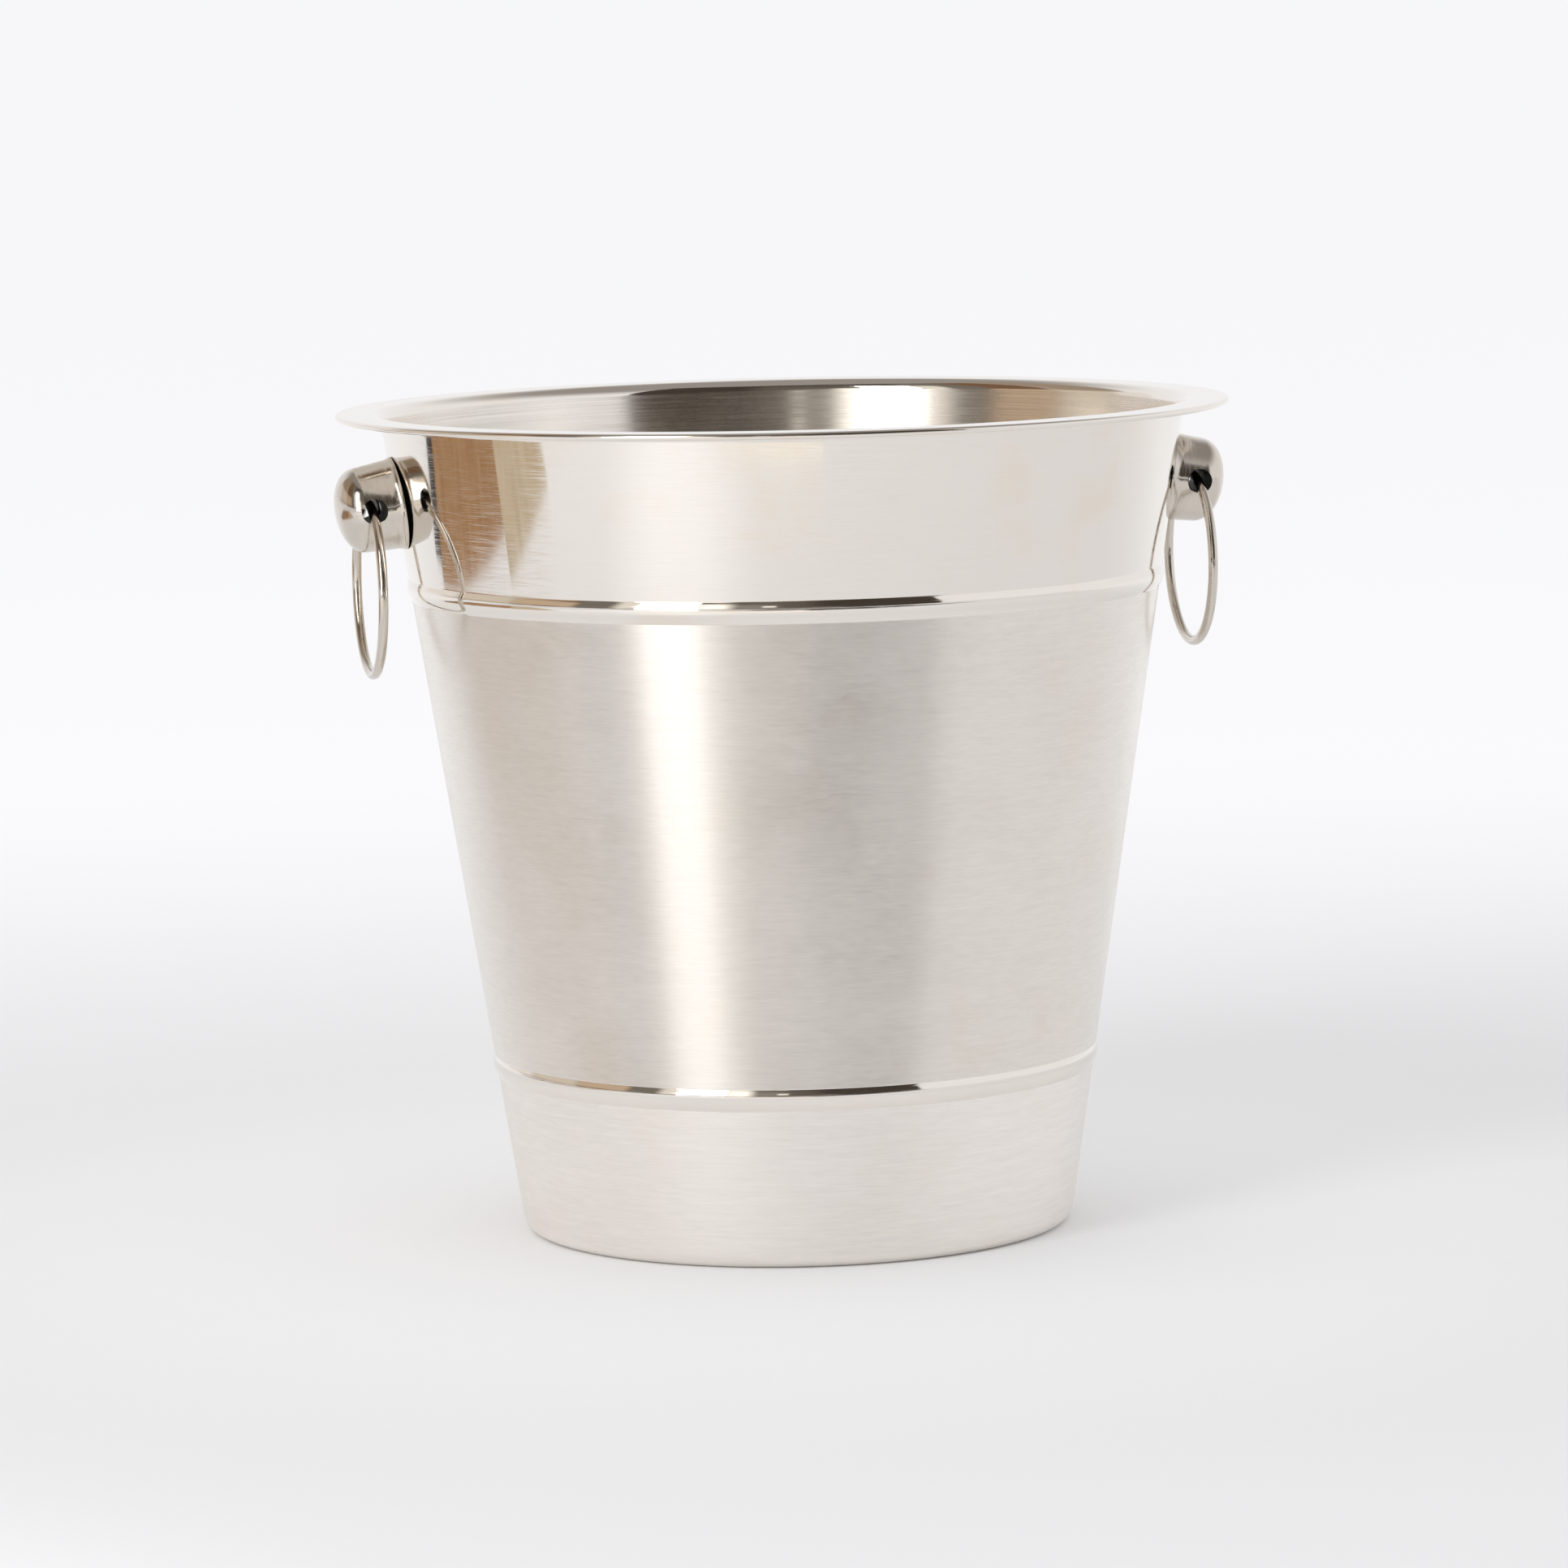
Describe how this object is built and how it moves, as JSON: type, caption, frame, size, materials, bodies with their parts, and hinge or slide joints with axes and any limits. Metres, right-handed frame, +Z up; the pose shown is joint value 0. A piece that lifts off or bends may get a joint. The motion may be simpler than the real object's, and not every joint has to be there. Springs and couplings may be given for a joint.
{
  "type": "champagne bucket",
  "caption": "Tapered stainless wine bucket with a flat turned-out rim, raised beads round the wall, and ring handles hanging from domed knobs screwed on just below the rim.",
  "frame": {"origin": "centre of the standing face, on the bucket's axis", "axes": "+Z up along the bucket's axis; the handles lie on the X axis, the left one on -X and the right one on +X"},
  "size_m": [0.2334, 0.2298, 0.213],
  "materials": {
    "brushed_shell": "bright, with fine turning lines round the bucket",
    "polished_nickel": "polished nickel plate, slightly warm",
    "fastener_steel": "plain satin stainless",
    "seal_rubber": "matt black"
  },
  "bodies": {
    "bucket": {"bucket_shell": "brushed_shell", "left_knob": "polished_nickel", "left_seal_washer": "seal_rubber", "left_washer": "fastener_steel", "left_screw": "fastener_steel", "right_knob": "polished_nickel", "right_seal_washer": "seal_rubber", "right_washer": "fastener_steel", "right_screw": "fastener_steel"},
    "left_ring": {"left_ring": "polished_nickel"},
    "right_ring": {"right_ring": "polished_nickel"}
  },
  "joints": [
    {"name": "left_ring_swing", "type": "hinge", "parent": "bucket", "child": "left_ring", "pos_m": [-0.10829, 0, 0.18977], "axis": [0, 1, 0], "range_deg": [-17.5, 164]},
    {"name": "right_ring_swing", "type": "hinge", "parent": "bucket", "child": "right_ring", "pos_m": [0.10829, 0, 0.18977], "axis": [0, -1, 0], "range_deg": [-17.5, 164]}
  ]
}
